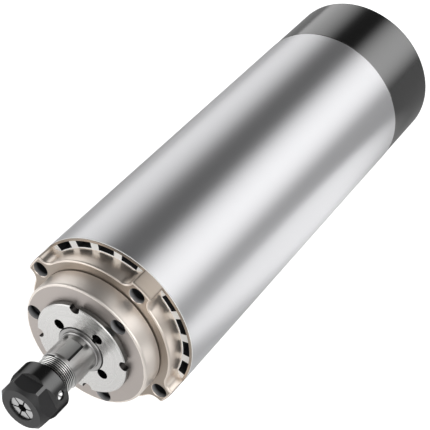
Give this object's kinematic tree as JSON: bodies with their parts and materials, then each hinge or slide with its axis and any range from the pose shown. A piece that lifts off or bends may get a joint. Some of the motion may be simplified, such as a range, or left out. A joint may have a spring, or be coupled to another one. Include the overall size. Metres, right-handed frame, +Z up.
{
  "type": "motor spindle",
  "caption": "Air-cooled motor spindle: a ducted round motor body with a bossed front bracket, bearing cover, lock ring, and a collet nut on its shaft; black rear cap with a socket.",
  "frame": {"origin": "on the shaft line, at the front edge of the body tube", "axes": "+Y along the shaft line towards the rear cap, so the nose points to -Y; +Z up"},
  "size_m": [0.065, 0.2422, 0.065],
  "materials": {
    "brushed_tube": "satin brushed aluminium extrusion",
    "champagne_bracket": "anodised aluminium, pale champagne",
    "turned_cover": "turned and anodised aluminium",
    "turned_lock_ring": "turned bare aluminium",
    "black_screws": "black oxide alloy steel",
    "bearing_steel": "ground bearing steel",
    "bearing_balls": "polished balls",
    "bearing_cages": "phenolic resin",
    "spring_steel": "spring strip",
    "ground_shaft": "ground and polished steel",
    "collet_steel": "ground spring steel",
    "blackened_nut": "black oxide steel",
    "lamination_steel": "varnished electrical sheet",
    "winding": "enamelled copper wire in resin",
    "cast_aluminium": "machined casting",
    "fan_plastic": "moulded nylon",
    "zinc_steel": "zinc plated",
    "black_cap": "gloss black anodised aluminium",
    "connector_metal": "nickel plated",
    "connector_plastic": "moulded insulator",
    "contact_brass": "plated contacts",
    "lead_sleeve": "silicone sleeve",
    "earth_sleeve": "silicone sleeve"
  },
  "bodies": {
    "housing": {"body_tube": "brushed_tube", "front_bracket": "champagne_bracket", "bracket_screws": "black_screws", "bearing_cover": "turned_cover", "cover_screws": "black_screws", "lock_ring": "turned_lock_ring", "front_outer_races": "bearing_steel", "rear_outer_race": "bearing_steel", "preload_spring": "spring_steel", "stator_core": "lamination_steel", "stator_winding": "winding", "rear_bracket": "cast_aluminium", "rear_cap": "black_cap", "cap_screws": "black_screws", "connector_shell": "connector_metal", "connector_nut": "connector_metal", "connector_insert": "connector_plastic", "connector_pins": "contact_brass", "phase_leads": "lead_sleeve", "earth_lead": "earth_sleeve"},
    "rotor": {"spindle_shaft": "ground_shaft", "slinger": "ground_shaft", "front_inner_races": "bearing_steel", "rotor_core": "lamination_steel", "rotor_end_rings": "cast_aluminium", "rear_inner_race": "bearing_steel", "cooling_fan": "fan_plastic", "fan_nut": "zinc_steel"},
    "front_bearing_cage": {"front_balls": "bearing_balls", "front_cages": "bearing_cages"},
    "rear_bearing_cage": {"rear_balls": "bearing_balls", "rear_cage": "bearing_cages"},
    "collet": {"collet": "collet_steel"},
    "nut": {"collet_nut": "blackened_nut"}
  },
  "joints": [
    {"name": "rotor_spin", "type": "hinge", "parent": "housing", "child": "rotor", "pos_m": [0, 0, 0], "axis": [0, -1, 0], "continuous": true},
    {"name": "front_cage_spin", "type": "hinge", "parent": "housing", "child": "front_bearing_cage", "pos_m": [0, 0, 0], "axis": [0, -1, 0], "continuous": true},
    {"name": "rear_cage_spin", "type": "hinge", "parent": "housing", "child": "rear_bearing_cage", "pos_m": [0, 0, 0], "axis": [0, -1, 0], "continuous": true},
    {"name": "nut_turn", "type": "hinge", "parent": "collet", "child": "nut", "pos_m": [0, -0.0431, 0], "axis": [0, -1, 0], "range_deg": [0, 2160]},
    {"name": "collet_travel", "type": "slide", "parent": "rotor", "child": "collet", "axis": [0, -1, 0], "range_m": [0, 0.0045]}
  ],
  "couplings": [
    {"joint": "front_cage_spin", "follows": "rotor_spin", "ratio": 0.4022},
    {"joint": "rear_cage_spin", "follows": "rotor_spin", "ratio": 0.3851},
    {"joint": "nut_turn", "follows": "collet_travel", "rad_per_m": 8377.6}
  ]
}
